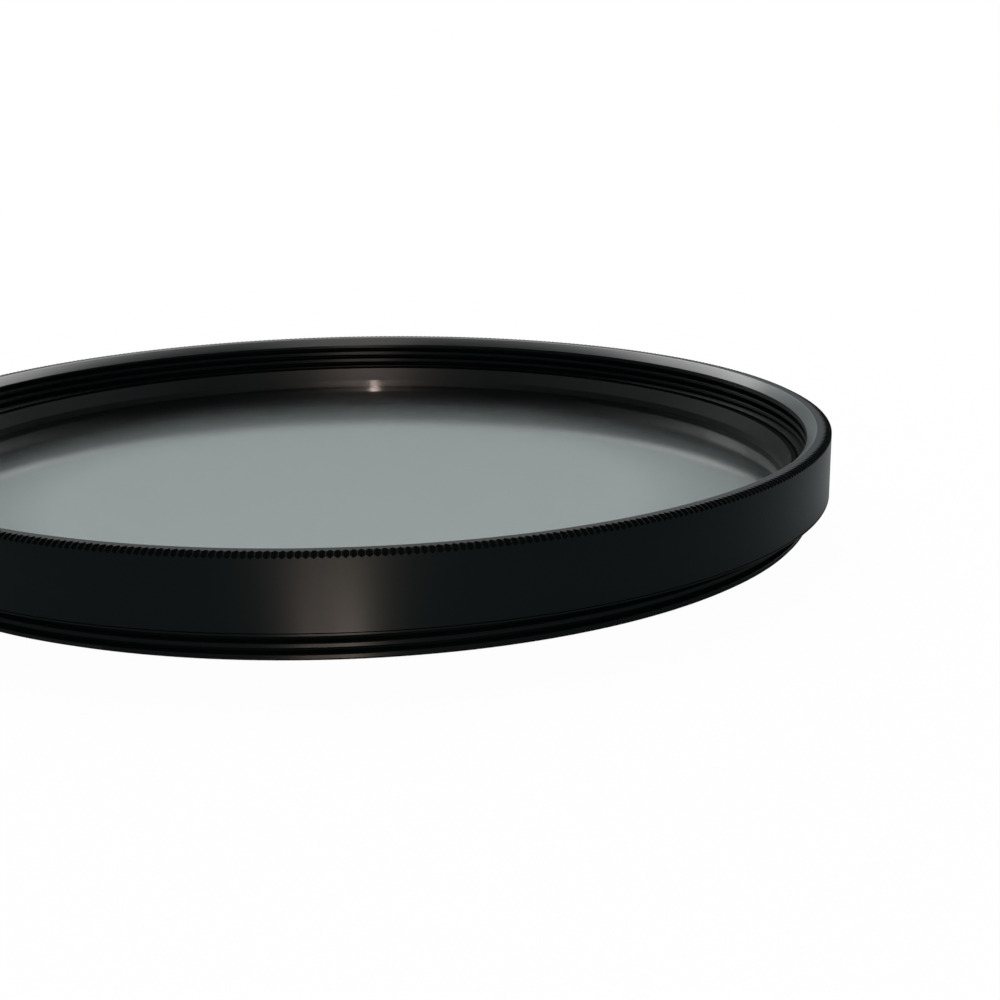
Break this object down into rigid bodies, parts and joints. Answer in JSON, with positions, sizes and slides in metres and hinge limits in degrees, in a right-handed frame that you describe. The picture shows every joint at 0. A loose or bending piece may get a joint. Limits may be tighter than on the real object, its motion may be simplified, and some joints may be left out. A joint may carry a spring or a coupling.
{
  "type": "screw-in lens filter",
  "caption": "Round screw-in lens filter: a knurled black ring threaded front and rear, with a flat grey glass disc held by a threaded retaining ring.",
  "frame": {"origin": "middle of the flat rear end, where the filter rests", "axes": "+Z along the optical axis, out of the front rim; +X and +Y across the ring"},
  "size_m": [0.08, 0.08, 0.0076],
  "materials": {
    "black_anodised": "satin black anodised",
    "grey_glass": "polished, neutral grey"
  },
  "bodies": {
    "root": {"filter_ring": "black_anodised", "filter_glass": "grey_glass", "retaining_ring": "black_anodised"}
  },
  "joints": []
}
